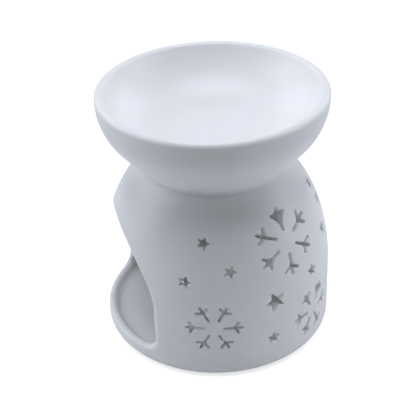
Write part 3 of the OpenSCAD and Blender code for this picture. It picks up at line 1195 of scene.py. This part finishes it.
def soft_light(name, place, size, power, colour):
    """A square soft light that faces the middle of the dome."""
    data = bpy.data.lights.new(name, "AREA")
    data.size = size
    data.energy = power
    data.color = colour
    aim = Vector((0, 0, BODY_HIGH.z / 2)) - place
    light = add_object(name, data)
    light.matrix_world = Matrix.Translation(place) @ aim.to_track_quat("-Z", "Y").to_matrix().to_4x4()


def build_stage(scene):
    """The camera, a seamless pale floor and soft lights."""
    stage = scene.burner_stage
    turn = Matrix.Rotation(stage.around, 3, "Z")
    build_camera(scene, turn)
    flat, bend, top = 1.5, 0.9, 1.6
    sweep = [(0, 0), (flat, 0)] + arc(flat, bend, bend, -90, 0, 24) + [(flat + bend, top)]
    floor = lathe("studio_floor", sweep, 96)
    floor.data.flip_normals()
    floor.data.materials.append(floor_material(stage))
    for name, place, size, power in (
        ("Overhead", (0, 0, 1.2), 0.8, stage.top_light),
        ("Left back", (-0.75, 0.75, 0.6), 0.6, stage.left_light),
        ("Right back", (0.75, 0.75, 0.6), 0.6, stage.right_light),
        ("Left fill", (-1, 0, 0.5), 0.7, stage.left_fill),
        ("Right fill", (1.05, -0.1, 0.3), 0.6, stage.right_fill),
    ):
        soft_light(name, turn @ Vector(place), size, power, stage.light_tint)
    world = bpy.data.worlds.new("Room")
    world.use_nodes = True
    world.node_tree.nodes["Background"].inputs["Strength"].default_value = 0
    scene.world = world
    scene.view_settings.view_transform = "Standard"


# ---------------------------------------------------------------- operators and panel

class BURNER_OT_dome(bpy.types.Operator):
    """Build the pierced porcelain dome"""
    bl_idname = "burner.dome"
    bl_label = "Pierced Dome"
    bl_options = {"REGISTER", "UNDO"}

    def execute(self, context):
        build_dome(context.scene)
        return {"FINISHED"}


class BURNER_OT_dish(bpy.types.Operator):
    """Build the warming dish"""
    bl_idname = "burner.dish"
    bl_label = "Warming Dish"
    bl_options = {"REGISTER", "UNDO"}

    def execute(self, context):
        build_dish(context.scene)
        return {"FINISHED"}


class BURNER_OT_cup(bpy.types.Operator):
    """Build the tealight's foil cup"""
    bl_idname = "burner.cup"
    bl_label = "Foil Cup"
    bl_options = {"REGISTER", "UNDO"}

    def execute(self, context):
        build_cup(context.scene)
        return {"FINISHED"}


class BURNER_OT_wax(bpy.types.Operator):
    """Build the wax in the cup"""
    bl_idname = "burner.wax"
    bl_label = "Wax"
    bl_options = {"REGISTER", "UNDO"}

    def execute(self, context):
        build_wax(context.scene)
        return {"FINISHED"}


class BURNER_OT_wick(bpy.types.Operator):
    """Build the braided wick and the tab that holds it"""
    bl_idname = "burner.wick"
    bl_label = "Wick and Tab"
    bl_options = {"REGISTER", "UNDO"}

    def execute(self, context):
        build_tab(context.scene)
        build_wick(context.scene)
        return {"FINISHED"}


class BURNER_OT_stage(bpy.types.Operator):
    """Set up the camera, the floor and the lights"""
    bl_idname = "burner.stage"
    bl_label = "Studio"
    bl_options = {"REGISTER", "UNDO"}

    def execute(self, context):
        build_stage(context.scene)
        return {"FINISHED"}


class BURNER_PT_panel(bpy.types.Panel):
    """Buttons and settings of the tealight burner"""
    bl_idname = "BURNER_PT_panel"
    bl_label = "Tealight Burner"
    bl_space_type = "VIEW_3D"
    bl_region_type = "UI"
    bl_category = "Burner"

    def draw(self, context):
        layout, scene = self.layout, context.scene
        for operator in OPERATORS:
            layout.operator(operator.bl_idname)
        for name in SETTINGS:
            box = layout.box()
            group = getattr(scene, name)
            for prop in group.bl_rna.properties:
                if prop.identifier not in ("rna_type", "name"):
                    box.prop(group, prop.identifier)


SETTINGS = {
    "burner_dome": DomeSettings,
    "burner_pattern": PatternSettings,
    "burner_dish": DishSettings,
    "burner_candle": CandleSettings,
    "burner_glaze": GlazeSettings,
    "burner_stage": StageSettings,
}
OPERATORS = (BURNER_OT_dome, BURNER_OT_dish, BURNER_OT_cup, BURNER_OT_wax, BURNER_OT_wick, BURNER_OT_stage)


def register():
    """Adds the settings, the operators and the panel."""
    for name, group in SETTINGS.items():
        bpy.utils.register_class(group)
        setattr(bpy.types.Scene, name, PointerProperty(type=group))
    for operator in (*OPERATORS, BURNER_PT_panel):
        bpy.utils.register_class(operator)


def unregister():
    """Takes away what register added."""
    for operator in reversed((*OPERATORS, BURNER_PT_panel)):
        bpy.utils.unregister_class(operator)
    for name, group in reversed(SETTINGS.items()):
        delattr(bpy.types.Scene, name)
        bpy.utils.unregister_class(group)


def main():
    """Builds every piece and the stage."""
    register()
    bpy.ops.burner.dome()
    bpy.ops.burner.dish()
    bpy.ops.burner.cup()
    bpy.ops.burner.wax()
    bpy.ops.burner.wick()
    bpy.ops.burner.stage()


if __name__ == "__main__":
    main()
